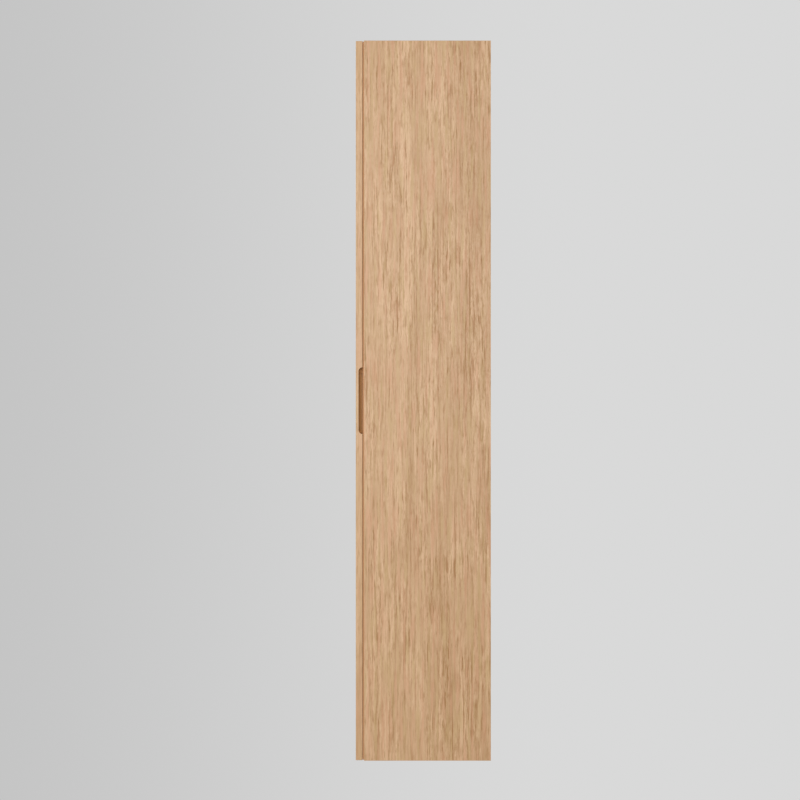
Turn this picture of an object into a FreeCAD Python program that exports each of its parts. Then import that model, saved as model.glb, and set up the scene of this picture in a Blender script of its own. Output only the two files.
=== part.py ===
"""Wall-hung tall cabinet with one full-height door, built from edged boards.

Millimetres. The front faces -Y, +X is to the right when facing the door, +Z is up. The origin is the centre
of the four wall-screw holes, on the plane of the wall: the back is at y = 0 and the mid-height at z = 0.
"""

import FreeCAD, Part
import math
import os

# Overall size of the closed cabinet
WIDTH = 400.0
HEIGHT = 1600.0
DEPTH = 300.0

# Boards
CARCASS_BOARD = 16.0
SHELF_BOARD = 16.0
RAIL_BOARD = 16.0
DOOR_BOARD = 15.0
BACK_BOARD = 4.0
EDGING = 1.0

# Door position
DOOR_GAP = 3.0
DOOR_REVEAL = 1.0

# Finger pull, routed into the rear of the door's opening edge
PULL_LENGTH = 148.0
PULL_REACH = 20.0
PULL_LIP = 6.0
PULL_CORNER_RADIUS = 10.0
PULL_FLOOR_RADIUS = 9.0

# Back panel in its grooves
GROOVE_DEPTH = 6.0
BACK_ENGAGEMENT = 5.0
GROOVE_CLEARANCE = 0.1

# Wall rails and their screw holes
RAIL_HEIGHT = 100.0
WALL_HOLE_RADIUS = 3.5
WALL_HOLE_SPACING = 256.0

# Dowels and cam fittings that join the boards to the sides
BORE_CLEARANCE = 0.1
BORE_END_CLEARANCE = 0.5
DOWEL_RADIUS = 4.0
DOWEL_IN_FACE = 10.5
DOWEL_IN_END = 19.5
RAIL_DOWEL_SPACING = 60.0
JOINT_INSET = 50.0
JOINT_PITCH = 32.0
CAM_RADIUS = 7.4
CAM_FLOOR = 1.2
CAM_DISTANCE = 24.0
CAM_CAP = 1.0
CAM_CAP_SLOT = 5.0
CAM_CAP_SLOT_WIDTH = 1.2
CAM_CAP_SLOT_DEPTH = 0.5
CAM_BOLT_RADIUS = 3.0
CAM_BOLT_THREAD_RADIUS = 2.5
CAM_BOLT_THREAD = 10.5
CAM_BOLT_NECK_RADIUS = 1.6
CAM_BOLT_NECK = 4.0
CAM_BOLT_HEAD = 3.0
CAM_CHANNEL_CLEARANCE = 0.3

# Adjustable shelves on pins
SHELF_SETBACK = 25.0
SHELF_SIDE_CLEARANCE = 1.5
SHELF_BACK_CLEARANCE = 2.0
PIN_HOLE_PITCH = 32.0
PIN_HOLE_COUNT = 5
PIN_COLUMN_FRONT = 37.0
PIN_COLUMN_REAR = 33.0
PIN_RADIUS = 2.5
PIN_LENGTH = 8.0
PIN_COLLAR_RADIUS = 4.0
PIN_COLLAR = 1.0
PIN_TAB_REACH = 9.0
PIN_TAB_WIDTH = 7.0
PIN_TAB = 2.0
ROW_PAST_INNER_HINGE = 95.0
ROW_PAST_OUTER_HINGE = 140.0

# Single-pivot cup hinges
HINGE_COUNT = 4
HINGE_END = 100.0
CUP_RADIUS = 17.5
CUP_WALL = 0.8
CUP_BOARD_LEFT = 3.0
CUP_FLANGE = 1.1
CUP_FLANGE_RIM = 1.0
CUP_WING_LENGTH = 60.0
CUP_WING_WIDTH = 12.0
CUP_WING_CORNER = 4.0
CUP_SCREW_SPACING = 48.0
CUP_SCREW_OFFSET = 9.5
HINGE_PIN_RADIUS = 1.1
HINGE_PIN_CLEARANCE = 0.05
EYE_RADIUS = 2.0
EYE_HALF_WIDTH = 3.0
EYE_FLOOR_CLEARANCE = 0.45
EYE_SIDE_CLEARANCE = 0.43
LUG_CLEARANCE = 0.3
LUG_THICKNESS = 2.7
LUG_REACH = 2.6
SWING_CLEARANCE = 0.3
ARM_SHEET = 2.0
ARM_HALF_WIDTH = 6.5
ARM_FLANGE_SHEET = 1.0
ARM_END = 62.0
ARM_CHANNEL_START = 8.0
ARM_CORNER_RADIUS = 3.0
PLATE_BASE = 2.0
PLATE_RIDGE = 5.0
PLATE_RIDGE_SIDE_CLEARANCE = 0.3
PLATE_START = 20.0
PLATE_CROSS = 37.0
PLATE_CROSS_WIDTH = 14.0
PLATE_CROSS_LENGTH = 50.0
PLATE_CROSS_CORNER = 4.5
PLATE_SCREW_SPACING = 32.0
CLAMP_SCREW_DISTANCE = 50.0
SIDE_SCREW_DISTANCE = 27.0
ARM_SCREW_RADIUS = 1.9
ARM_SCREW_HEAD_RADIUS = 3.2
ARM_SCREW_HEAD = 1.8
ARM_SCREW_GRIP = 3.5

# Wood screws for hinges, catches and strikes
SCREW_RADIUS = 1.75
SCREW_LENGTH = 11.0
SCREW_HEAD_RADIUS = 3.3
SCREW_HEAD = 1.4
SCREW_SLOT_LENGTH = 4.4
SCREW_SLOT_WIDTH = 0.9
SCREW_SLOT_DEPTH = 0.7

# Magnetic catches and the door buffer
CATCH_END = 100.0
CATCH_LENGTH = 36.0
CATCH_WIDTH = 15.0
CATCH_DEPTH = 14.0
CATCH_SETBACK = 3.0
CATCH_EAR_LENGTH = 12.0
CATCH_EAR = 3.0
MAGNET_WALL = 2.5
MAGNET_CLEARANCE = 0.1
MAGNET_DEPTH = 11.5
MAGNET_TO_STRIKE = 0.4
STRIKE_THICKNESS = 1.0
STRIKE_LENGTH = 56.0
STRIKE_WIDTH = 14.0
STRIKE_CORNER = 4.5
STRIKE_SCREW_SPACING = 46.0
BUFFER_WIDTH = 5.0
BUFFER_SETBACK = 2.5
BUFFER_CLEARANCE = 0.4
BUFFER_END = 2.0
BUFFER_CROWN_RADIUS = 0.6

# Planes that the pieces share
SIDES = (-1, 1)
HALF_WIDTH = WIDTH / 2
HALF_HEIGHT = HEIGHT / 2
INNER_X = HALF_WIDTH - CARCASS_BOARD
INNER_Z = HALF_HEIGHT - CARCASS_BOARD
DOOR_FRONT = -DEPTH
DOOR_BACK = DOOR_FRONT + DOOR_BOARD
CARCASS_FRONT = DOOR_BACK + DOOR_GAP
BACK_REAR = -RAIL_BOARD
BACK_FRONT = BACK_REAR - BACK_BOARD
DOOR_HALF_WIDTH = HALF_WIDTH - DOOR_REVEAL
DOOR_HALF_HEIGHT = HALF_HEIGHT - DOOR_REVEAL

# Heights of the rows of fittings
RAIL_Z = INNER_Z - RAIL_HEIGHT / 2
HINGE_OUTER_Z = HALF_HEIGHT - HINGE_END
HINGE_STEP = 2 * HINGE_OUTER_Z / (HINGE_COUNT - 1)
HINGE_HEIGHTS = [HINGE_STEP * n - HINGE_OUTER_Z for n in range(HINGE_COUNT)]
ROW_OUTER_Z = HINGE_OUTER_Z - ROW_PAST_OUTER_HINGE
ROW_INNER_Z = HINGE_STEP / 2 + ROW_PAST_INNER_HINGE
SHELF_ROWS = (-ROW_OUTER_Z, -ROW_INNER_Z, ROW_INNER_Z, ROW_OUTER_Z)
CATCH_HEIGHTS = (CATCH_END - HALF_HEIGHT, HALF_HEIGHT - CATCH_END)

# Lines of bores along the depth
CAM_LINES = (CARCASS_FRONT + JOINT_INSET, BACK_FRONT - JOINT_INSET)
DOWEL_LINES = (CAM_LINES[0] + JOINT_PITCH, CAM_LINES[1] - JOINT_PITCH)
PIN_LINES = (CARCASS_FRONT + PIN_COLUMN_FRONT, BACK_FRONT - PIN_COLUMN_REAR)

# Hinge geometry: the pin lies as far from the door's edge as lets the door's rear corner pass the carcass
CUP_DEPTH = DOOR_BOARD - CUP_BOARD_LEFT
CUP_INNER_RADIUS = CUP_RADIUS - CUP_WALL
HINGE_PIN_DEPTH = CUP_DEPTH - CUP_WALL - EYE_FLOOR_CLEARANCE - EYE_RADIUS
SWING_RADIUS = HINGE_PIN_DEPTH + DOOR_GAP - SWING_CLEARANCE
HINGE_PIN_X = math.sqrt(SWING_RADIUS**2 - HINGE_PIN_DEPTH**2) - DOOR_HALF_WIDTH
HINGE_PIN_Y = DOOR_BACK - HINGE_PIN_DEPTH
EYE_TO_CUP = math.sqrt(CUP_INNER_RADIUS**2 - EYE_HALF_WIDTH**2)
CUP_X = HINGE_PIN_X - EYE_RADIUS - EYE_SIDE_CLEARANCE + EYE_TO_CUP
CUP_SCREW_X = CUP_X + CUP_SCREW_OFFSET
ARM_LOW_X = -INNER_X + PLATE_BASE + PLATE_RIDGE
ARM_HIGH_X = ARM_LOW_X + ARM_SHEET

# Boards joined to the sides: middle height and the face that the cam housings are let into
JOINED_BOARDS = {
    "top_panel": (HALF_HEIGHT - CARCASS_BOARD / 2, 1),
    "bottom_panel": (CARCASS_BOARD / 2 - HALF_HEIGHT, -1),
    "fixed_shelf": (0.0, -1),
}

# Two planes or lengths closer than this are taken as the same
TOLERANCE = 0.01

Vector = FreeCAD.Vector


def box(x, y, z):
    """Block between the low and high value of each axis."""
    return Part.makeBox(x[1] - x[0], y[1] - y[0], z[1] - z[0], Vector(x[0], y[0], z[0]))


def between(middle, length):
    """Low and high value of a length about its middle."""
    return (middle - length / 2, middle + length / 2)


def ordered(one, other):
    """Low and high value of two planes."""
    return (min(one, other), max(one, other))


def rod(radius, start, end):
    """Round bar from one point to another."""
    return Part.makeCylinder(radius, (end - start).Length, start, end - start)


def fused(shapes):
    """One solid from pieces that touch."""
    return shapes[0].fuse(shapes[1:]).removeSplitter()


def across(radius, side, y, z, inward, outward):
    """Round bar along X that starts inward of a side panel's inner face and ends outward of it."""
    return rod(radius, Vector(side * (INNER_X - inward), y, z), Vector(side * (INNER_X + outward), y, z))


def rounded(shape, radius, chosen):
    """Shape with a fillet on the edges for which chosen(edge) is true."""
    return shape.makeFillet(radius, [edge for edge in shape.Edges if chosen(edge)])


def along(edge, axis):
    """True where a straight edge runs along an axis."""
    reach = edge.BoundBox
    lengths = {"x": reach.XLength, "y": reach.YLength, "z": reach.ZLength}
    return abs(lengths[axis] - edge.Length) < TOLERANCE


def wood_screw(seat, direction):
    """Slotted pan-head wood screw whose head sits on the seat and whose shank runs along direction."""
    top = seat - direction * SCREW_HEAD
    shank = rod(SCREW_RADIUS, seat, seat + direction * SCREW_LENGTH)
    head = rod(SCREW_HEAD_RADIUS, top, seat)
    slot = box(
        between(0, SCREW_SLOT_WIDTH),
        between(0, SCREW_SLOT_LENGTH),
        (0, SCREW_SLOT_DEPTH),
    )
    slot.Placement = FreeCAD.Placement(top, FreeCAD.Rotation(Vector(0, 0, 1), direction))
    return fused([shank, head]).cut(slot)


def screw_bore(seat, direction):
    """Clearance and pilot bore for a wood screw."""
    depth = SCREW_LENGTH + BORE_END_CLEARANCE
    return rod(SCREW_RADIUS + BORE_CLEARANCE, seat, seat + direction * depth)


def board_thickness(name):
    """Thickness of a board that is joined to the sides."""
    return SHELF_BOARD if name == "fixed_shelf" else CARCASS_BOARD


def dowel_places(side):
    """Depth and height of every dowel in one side panel."""
    places = [(y, z) for z, _ in JOINED_BOARDS.values() for y in DOWEL_LINES]
    for rail in SIDES:
        for offset in SIDES:
            places.append((-RAIL_BOARD / 2, rail * RAIL_Z + offset * RAIL_DOWEL_SPACING / 2))
    return [(side, y, z) for y, z in places]


def dowels():
    """Fluteless beech dowels, half in the sides and half in the boards' ends."""
    places = dowel_places(-1) + dowel_places(1)
    return [across(DOWEL_RADIUS, *place, DOWEL_IN_END, DOWEL_IN_FACE) for place in places]


def dowel_bores():
    """Bores for the dowels in the sides and the boards' ends."""
    inward = DOWEL_IN_END + BORE_END_CLEARANCE
    outward = DOWEL_IN_FACE + BORE_END_CLEARANCE
    radius = DOWEL_RADIUS + BORE_CLEARANCE
    places = dowel_places(-1) + dowel_places(1)
    return [across(radius, *place, inward, outward) for place in places]


def cam_places():
    """Side, depth, height, open face and board thickness of every cam fitting."""
    return [
        (side, y, z, face, board_thickness(name))
        for name, (z, face) in JOINED_BOARDS.items()
        for side in SIDES
        for y in CAM_LINES
    ]


def cam_depth(place):
    """Depth of a cam's bore: to the bolt in the middle of the board, and a floor under it."""
    thickness = place[-1]
    return thickness / 2 + CAM_BOLT_RADIUS + CAM_CHANNEL_CLEARANCE + CAM_FLOOR


def cam_post(radius, place, top, bottom):
    """Upright cylinder on a cam's axis, from one depth below the board's face to another."""
    side, y, z, face, thickness = place
    x = side * (INNER_X - CAM_DISTANCE)
    surface = z + face * thickness / 2
    return rod(radius, Vector(x, y, surface - face * top), Vector(x, y, surface - face * bottom))


def cam_bolt(place):
    """Steel bolt: threaded in the side panel, with a necked head in the cam."""
    at = place[:3]
    neck_start = CAM_DISTANCE - CAM_BOLT_NECK
    thread = across(CAM_BOLT_THREAD_RADIUS, *at, 0, CAM_BOLT_THREAD)
    shank = across(CAM_BOLT_RADIUS, *at, neck_start, 0)
    neck = across(CAM_BOLT_NECK_RADIUS, *at, CAM_DISTANCE, -neck_start)
    head = across(CAM_BOLT_RADIUS, *at, CAM_DISTANCE + CAM_BOLT_HEAD, -CAM_DISTANCE)
    return fused([thread, shank, neck, head])


def cam_housing(place):
    """Cast cam that draws the bolt in, with its channel for the bolt."""
    body = cam_post(CAM_RADIUS, place, CAM_CAP + BORE_CLEARANCE, cam_depth(place) - BORE_CLEARANCE)
    channel_end = CAM_DISTANCE + CAM_BOLT_HEAD + CAM_CHANNEL_CLEARANCE
    return body.cut(across(CAM_BOLT_RADIUS + CAM_CHANNEL_CLEARANCE, *place[:3], channel_end, 0))


def cam_cap(place):
    """Plastic cap, flush with the board over its cam, with a slot for lifting it out."""
    side, y, z, face, thickness = place
    surface = z + face * thickness / 2
    slot = box(
        between(side * (INNER_X - CAM_DISTANCE), CAM_CAP_SLOT),
        between(y, CAM_CAP_SLOT_WIDTH),
        ordered(surface, surface - face * CAM_CAP_SLOT_DEPTH),
    )
    return cam_post(CAM_RADIUS, place, 0, CAM_CAP).cut(slot)


def cam_bores():
    """Bores for cams in the boards and for their bolts in boards and sides."""
    bores = []
    for place in cam_places():
        bores.append(cam_post(CAM_RADIUS + BORE_CLEARANCE, place, 0, cam_depth(place)))
        bores.append(across(CAM_BOLT_RADIUS + BORE_CLEARANCE, *place[:3], CAM_DISTANCE, 0))
        thread_end = CAM_BOLT_THREAD + BORE_END_CLEARANCE
        bores.append(across(CAM_BOLT_THREAD_RADIUS + BORE_CLEARANCE, *place[:3], 0, thread_end))
    return bores


def shelf_pin_holes(side):
    """Rows of holes that let each adjustable shelf move up or down."""
    holes = []
    for row in SHELF_ROWS:
        for step in range(PIN_HOLE_COUNT):
            z = row + (step - PIN_HOLE_COUNT // 2) * PIN_HOLE_PITCH
            for y in PIN_LINES:
                hole_depth = PIN_LENGTH + BORE_END_CLEARANCE
                holes.append(across(PIN_RADIUS + BORE_CLEARANCE, side, y, z, 0, hole_depth))
    return holes


def shelf_pin(side, y, z):
    """Shelf support: a pin with a collar against the side and a flat tab under the shelf."""
    pin = across(PIN_RADIUS, side, y, z, 0, PIN_LENGTH)
    collar = across(PIN_COLLAR_RADIUS, side, y, z, PIN_COLLAR, 0)
    tab = box(
        ordered(side * INNER_X, side * (INNER_X - PIN_TAB_REACH)),
        between(y, PIN_TAB_WIDTH),
        (z + PIN_RADIUS - PIN_TAB, z + PIN_RADIUS),
    )
    return fused([pin, collar, tab])


def back_groove():
    """Groove that runs round the sides, top and bottom for the back panel."""
    return box(
        (-INNER_X - GROOVE_DEPTH, INNER_X + GROOVE_DEPTH),
        (BACK_FRONT - GROOVE_CLEARANCE, BACK_REAR + GROOVE_CLEARANCE),
        (-INNER_Z - GROOVE_DEPTH, INNER_Z + GROOVE_DEPTH),
    )


def wall_holes():
    """Holes for the four wall screws, through the rails and the back panel."""
    return [
        rod(WALL_HOLE_RADIUS, Vector(x, BACK_FRONT, z), Vector(x, 0, z))
        for x in between(0, WALL_HOLE_SPACING)
        for z in (-RAIL_Z, RAIL_Z)
    ]


def side_panel(side):
    """Full-height side board with its bores and groove."""
    board = box(
        ordered(side * INNER_X, side * HALF_WIDTH),
        (CARCASS_FRONT + EDGING, 0),
        (EDGING - HALF_HEIGHT, HALF_HEIGHT - EDGING),
    )
    bores = dowel_bores() + cam_bores() + shelf_pin_holes(side) + [back_groove()]
    if side < 0:
        bores += [screw_bore(*seat) for z in HINGE_HEIGHTS for seat in plate_screw_seats(z)]
    else:
        bores += [screw_bore(*seat) for z in CATCH_HEIGHTS for seat in catch_screw_seats(z)]
    return board.cut(bores)


def side_edging(side):
    """Edging on the front, top and bottom edges of a side panel."""
    across_board = ordered(side * INNER_X, side * HALF_WIDTH)
    front = (CARCASS_FRONT, CARCASS_FRONT + EDGING)
    behind = (CARCASS_FRONT + EDGING, 0)
    strips = [box(across_board, front, (-HALF_HEIGHT, HALF_HEIGHT))]
    for end in SIDES:
        strips.append(box(across_board, behind, ordered(end * HALF_HEIGHT, end * (HALF_HEIGHT - EDGING))))
    return strips


def joined_board(name):
    """Top, bottom or fixed shelf, between the sides."""
    z, _ = JOINED_BOARDS[name]
    rear = BACK_FRONT if name == "fixed_shelf" else 0
    board = box((-INNER_X, INNER_X), (CARCASS_FRONT + EDGING, rear), between(z, board_thickness(name)))
    tools = dowel_bores() + cam_bores()
    if name != "fixed_shelf":
        tools.append(back_groove())
    return board.cut(tools)


def joined_board_edging(name):
    """Edging on the front of the top, bottom or fixed shelf."""
    z, _ = JOINED_BOARDS[name]
    front = (CARCASS_FRONT, CARCASS_FRONT + EDGING)
    return box((-INNER_X, INNER_X), front, between(z, board_thickness(name)))


def back_panel():
    """Thin back in the grooves of the four outer boards."""
    reach_x = INNER_X + BACK_ENGAGEMENT
    reach_z = INNER_Z + BACK_ENGAGEMENT
    return box((-reach_x, reach_x), (BACK_FRONT, BACK_REAR), (-reach_z, reach_z)).cut(wall_holes())


def wall_rail(end):
    """Rail behind the back panel that takes the wall screws."""
    rail = box((-INNER_X, INNER_X), (BACK_REAR, 0), between(end * RAIL_Z, RAIL_HEIGHT))
    return rail.cut(wall_holes() + dowel_bores())


def adjustable_shelf(row):
    """Loose shelf on four pins."""
    reach = INNER_X - SHELF_SIDE_CLEARANCE
    underside = row + PIN_RADIUS
    front = CARCASS_FRONT + SHELF_SETBACK + EDGING
    rear = BACK_FRONT - SHELF_BACK_CLEARANCE
    return box((-reach, reach), (front, rear), (underside, underside + SHELF_BOARD))


def adjustable_shelf_edging(row):
    """Edging on the front of a loose shelf."""
    reach = INNER_X - SHELF_SIDE_CLEARANCE
    underside = row + PIN_RADIUS
    front = CARCASS_FRONT + SHELF_SETBACK
    return box((-reach, reach), (front, front + EDGING), (underside, underside + SHELF_BOARD))


def finger_pull():
    """Pocket with round inner corners and a coved floor, open at the door's edge and back."""
    pocket = box(
        (DOOR_HALF_WIDTH - PULL_REACH, DOOR_HALF_WIDTH + PULL_REACH),
        (DOOR_FRONT + PULL_LIP, DOOR_BACK + PULL_LIP),
        between(0, PULL_LENGTH),
    )
    pocket = rounded(
        pocket,
        PULL_CORNER_RADIUS,
        lambda edge: along(edge, "y") and edge.BoundBox.XMax < DOOR_HALF_WIDTH,
    )
    floor = DOOR_FRONT + PULL_LIP
    return rounded(
        pocket,
        PULL_FLOOR_RADIUS,
        lambda edge: abs(edge.BoundBox.YMax - floor) < TOLERANCE and edge.BoundBox.XMin < DOOR_HALF_WIDTH,
    )


def door_panel():
    """Door board with the finger pull, hinge bores and pilot bores."""
    reach_x = DOOR_HALF_WIDTH - EDGING
    reach_z = DOOR_HALF_HEIGHT - EDGING
    board = box((-reach_x, reach_x), (DOOR_FRONT, DOOR_BACK), (-reach_z, reach_z))
    bores = [finger_pull()]
    for z in HINGE_HEIGHTS:
        floor = DOOR_BACK - CUP_DEPTH - BORE_CLEARANCE
        bores.append(rod(CUP_RADIUS + BORE_CLEARANCE, Vector(CUP_X, DOOR_BACK, z), Vector(CUP_X, floor, z)))
        bores += [screw_bore(*seat) for seat in cup_screw_seats(z)]
    for z in CATCH_HEIGHTS:
        bores += [screw_bore(*seat) for seat in strike_screw_seats(z)]
    return board.cut(bores)


def door_upright_edging(side):
    """Edging on a long edge of the door."""
    strip = box(
        ordered(side * (DOOR_HALF_WIDTH - EDGING), side * DOOR_HALF_WIDTH),
        (DOOR_FRONT, DOOR_BACK),
        (-DOOR_HALF_HEIGHT, DOOR_HALF_HEIGHT),
    )
    return strip.cut(finger_pull())


def door_end_edging(end):
    """Edging on the top or bottom edge of the door."""
    reach = DOOR_HALF_WIDTH - EDGING
    height = ordered(end * (DOOR_HALF_HEIGHT - EDGING), end * DOOR_HALF_HEIGHT)
    return box((-reach, reach), (DOOR_FRONT, DOOR_BACK), height)


def cup_screw_seats(z):
    """Seats of the two screws that hold a hinge cup."""
    into_door = Vector(0, -1, 0)
    top = DOOR_BACK + CUP_FLANGE
    return [(Vector(CUP_SCREW_X, top, height), into_door) for height in between(z, CUP_SCREW_SPACING)]


def hinge_pin(radius, z, half_length):
    """Bar on the hinge axis."""
    low = Vector(HINGE_PIN_X, HINGE_PIN_Y, z - half_length)
    return rod(radius, low, low + Vector(0, 0, 2 * half_length))


def lug_far():
    """Distance of the lugs' outer faces from the hinge's middle."""
    return EYE_HALF_WIDTH + LUG_CLEARANCE + LUG_THICKNESS


def hinge_cup(z):
    """Pressed steel cup with a screw flange and two lugs that hold the pin."""
    floor = DOOR_BACK - CUP_DEPTH
    flange_top = DOOR_BACK + CUP_FLANGE
    body = rod(CUP_RADIUS, Vector(CUP_X, floor, z), Vector(CUP_X, flange_top, z))
    rim = rod(CUP_RADIUS + CUP_FLANGE_RIM, Vector(CUP_X, DOOR_BACK, z), Vector(CUP_X, flange_top, z))
    rim_start = CUP_X - CUP_RADIUS
    rim = rim.common(
        box(
            (rim_start, rim_start + WIDTH),
            (DOOR_BACK, flange_top),
            between(z, CUP_WING_LENGTH),
        )
    )
    wing = box(between(CUP_SCREW_X, CUP_WING_WIDTH), (DOOR_BACK, flange_top), between(z, CUP_WING_LENGTH))
    wing = rounded(wing, CUP_WING_CORNER, lambda edge: along(edge, "y"))
    hollow = rod(CUP_INNER_RADIUS, Vector(CUP_X, floor + CUP_WALL, z), Vector(CUP_X, flange_top, z))
    shell = fused([body, rim, wing]).cut([hollow] + [screw_bore(*seat) for seat in cup_screw_seats(z)])
    lugs = []
    for side in SIDES:
        lug = box(
            (CUP_X - CUP_RADIUS, HINGE_PIN_X + LUG_REACH),
            (floor, HINGE_PIN_Y + LUG_REACH),
            ordered(z + side * lug_far(), z + side * (EYE_HALF_WIDTH + LUG_CLEARANCE)),
        )
        lugs.append(lug.common(body))
    pin_bore = hinge_pin(HINGE_PIN_RADIUS + HINGE_PIN_CLEARANCE, z, lug_far() - LUG_CLEARANCE / 2)
    return fused([shell] + lugs).cut(pin_bore)


def arm_screw_places():
    """Depths of the clamping screw and the side-adjusting screw along a hinge arm."""
    return (CARCASS_FRONT + CLAMP_SCREW_DISTANCE, CARCASS_FRONT + SIDE_SCREW_DISTANCE)


def arm_screw(y, z):
    """Machine screw through the arm into its mounting plate."""
    head = rod(ARM_SCREW_HEAD_RADIUS, Vector(ARM_HIGH_X, y, z), Vector(ARM_HIGH_X + ARM_SCREW_HEAD, y, z))
    shank = rod(ARM_SCREW_RADIUS, Vector(ARM_HIGH_X, y, z), Vector(ARM_LOW_X - ARM_SCREW_GRIP, y, z))
    slot = box(
        (ARM_HIGH_X + ARM_SCREW_HEAD - SCREW_SLOT_DEPTH, ARM_HIGH_X + ARM_SCREW_HEAD),
        between(y, SCREW_SLOT_WIDTH),
        between(z, SCREW_SLOT_LENGTH),
    )
    return fused([head, shank]).cut(slot)


def arm_screw_bores(z):
    """Bores for the two machine screws of one hinge."""
    low = ARM_LOW_X - ARM_SCREW_GRIP - BORE_END_CLEARANCE
    radius = ARM_SCREW_RADIUS + BORE_CLEARANCE
    return [rod(radius, Vector(low, y, z), Vector(ARM_HIGH_X, y, z)) for y in arm_screw_places()]


def hinge_arm(z):
    """Gooseneck arm: an eye on the pin, a leg in the cup, and a channel over the mounting plate."""
    end = CARCASS_FRONT + ARM_END
    leg_y = between(HINGE_PIN_Y, ARM_SHEET)
    eye = hinge_pin(EYE_RADIUS, z, EYE_HALF_WIDTH)
    leg = box((HINGE_PIN_X, ARM_HIGH_X), leg_y, between(z, 2 * EYE_HALF_WIDTH))
    neck = box((ARM_LOW_X, ARM_HIGH_X), (leg_y[0], end), between(z, 2 * EYE_HALF_WIDTH))
    web = box((ARM_LOW_X, ARM_HIGH_X), (CARCASS_FRONT, end), between(z, 2 * ARM_HALF_WIDTH))
    web = rounded(web, ARM_CORNER_RADIUS, lambda edge: along(edge, "x"))
    flanges = []
    for side in SIDES:
        faces = ordered(z + side * ARM_HALF_WIDTH, z + side * (ARM_HALF_WIDTH - ARM_FLANGE_SHEET))
        lip = (-INNER_X + PLATE_BASE + PLATE_RIDGE_SIDE_CLEARANCE, ARM_HIGH_X)
        start = CARCASS_FRONT + ARM_CHANNEL_START
        flanges.append(box(lip, (start, end - ARM_CORNER_RADIUS), faces))
    eye_bore = hinge_pin(HINGE_PIN_RADIUS + HINGE_PIN_CLEARANCE, z, EYE_HALF_WIDTH)
    return fused([eye, leg, neck, web] + flanges).cut([eye_bore] + arm_screw_bores(z))


def plate_screw_seats(z):
    """Seats of the two screws that hold a mounting plate to the left side panel."""
    into_side = Vector(-1, 0, 0)
    x = PLATE_BASE - INNER_X
    y = CARCASS_FRONT + PLATE_CROSS
    return [(Vector(x, y, height), into_side) for height in between(z, PLATE_SCREW_SPACING)]


def hinge_plate(z):
    """Cross-shaped mounting plate with the ridge that carries the arm."""
    base_x = (-INNER_X, PLATE_BASE - INNER_X)
    ridge_half = ARM_HALF_WIDTH - ARM_FLANGE_SHEET - PLATE_RIDGE_SIDE_CLEARANCE
    along_arm = (CARCASS_FRONT + PLATE_START, CARCASS_FRONT + ARM_END - ARM_CORNER_RADIUS)
    foot = box(base_x, along_arm, between(z, 2 * ARM_HALF_WIDTH))
    cross_y = between(CARCASS_FRONT + PLATE_CROSS, PLATE_CROSS_WIDTH)
    cross = box(base_x, cross_y, between(z, PLATE_CROSS_LENGTH))
    cross = rounded(cross, PLATE_CROSS_CORNER, lambda edge: along(edge, "x"))
    ridge = box((-INNER_X, ARM_LOW_X), along_arm, between(z, 2 * ridge_half))
    bores = [screw_bore(*seat) for seat in plate_screw_seats(z)] + arm_screw_bores(z)
    return fused([foot, cross, ridge]).cut(bores)


def catch_screw_seats(z):
    """Seats of the two screws that hold a catch housing to the right side panel."""
    into_side = Vector(1, 0, 0)
    y = CARCASS_FRONT + CATCH_SETBACK + CATCH_DEPTH / 2
    spacing = CATCH_LENGTH + CATCH_EAR_LENGTH
    return [(Vector(INNER_X - CATCH_EAR, y, height), into_side) for height in between(z, spacing)]


def magnet_block(z, clearance):
    """Magnet with its pole plates, or its pocket when given a clearance."""
    front = DOOR_BACK + STRIKE_THICKNESS + MAGNET_TO_STRIKE
    return box(
        (INNER_X - CATCH_WIDTH + MAGNET_WALL - clearance, INNER_X - MAGNET_WALL + clearance),
        (front, front + MAGNET_DEPTH + clearance),
        between(z, CATCH_LENGTH - 2 * MAGNET_WALL + 2 * clearance),
    )


def catch_housing(z):
    """Moulded housing with screw ears and a pocket for its magnet."""
    front = CARCASS_FRONT + CATCH_SETBACK
    depth = (front, front + CATCH_DEPTH)
    block = box((INNER_X - CATCH_WIDTH, INNER_X), depth, between(z, CATCH_LENGTH))
    ears = box((INNER_X - CATCH_EAR, INNER_X), depth, between(z, CATCH_LENGTH + 2 * CATCH_EAR_LENGTH))
    ears = rounded(ears, CATCH_EAR, lambda edge: along(edge, "x"))
    bores = [screw_bore(*seat) for seat in catch_screw_seats(z)]
    return fused([block, ears]).cut([magnet_block(z, MAGNET_CLEARANCE)] + bores)


def strike_middle_x():
    """Middle of a strike plate, in front of its magnet."""
    return INNER_X - CATCH_WIDTH / 2


def strike_screw_seats(z):
    """Seats of the two screws that hold a strike plate to the door."""
    into_door = Vector(0, -1, 0)
    y = DOOR_BACK + STRIKE_THICKNESS
    return [(Vector(strike_middle_x(), y, height), into_door) for height in between(z, STRIKE_SCREW_SPACING)]


def catch_strike(z):
    """Steel plate on the door that the magnet holds."""
    plate = box(
        between(strike_middle_x(), STRIKE_WIDTH),
        (DOOR_BACK, DOOR_BACK + STRIKE_THICKNESS),
        between(z, STRIKE_LENGTH),
    )
    plate = rounded(plate, STRIKE_CORNER, lambda edge: along(edge, "y"))
    return plate.cut([screw_bore(*seat) for seat in strike_screw_seats(z)])


def door_buffer():
    """Soft strip stuck along the right side panel's front edge, which closes the gap behind the shut door."""
    outer = HALF_WIDTH - BUFFER_SETBACK
    front = DOOR_BACK + BUFFER_CLEARANCE
    strip = box((outer - BUFFER_WIDTH, outer), (front, CARCASS_FRONT), between(0, HEIGHT - 2 * BUFFER_END))
    return rounded(
        strip,
        BUFFER_CROWN_RADIUS,
        lambda edge: along(edge, "z") and abs(edge.BoundBox.YMax - front) < TOLERANCE,
    )


def save(node, shapes):
    """Write one node, which may be a group of like solids."""
    shape = shapes[0] if len(shapes) == 1 else Part.makeCompound(shapes)
    shape.exportStep(f"parts/{node}.step")


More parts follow.
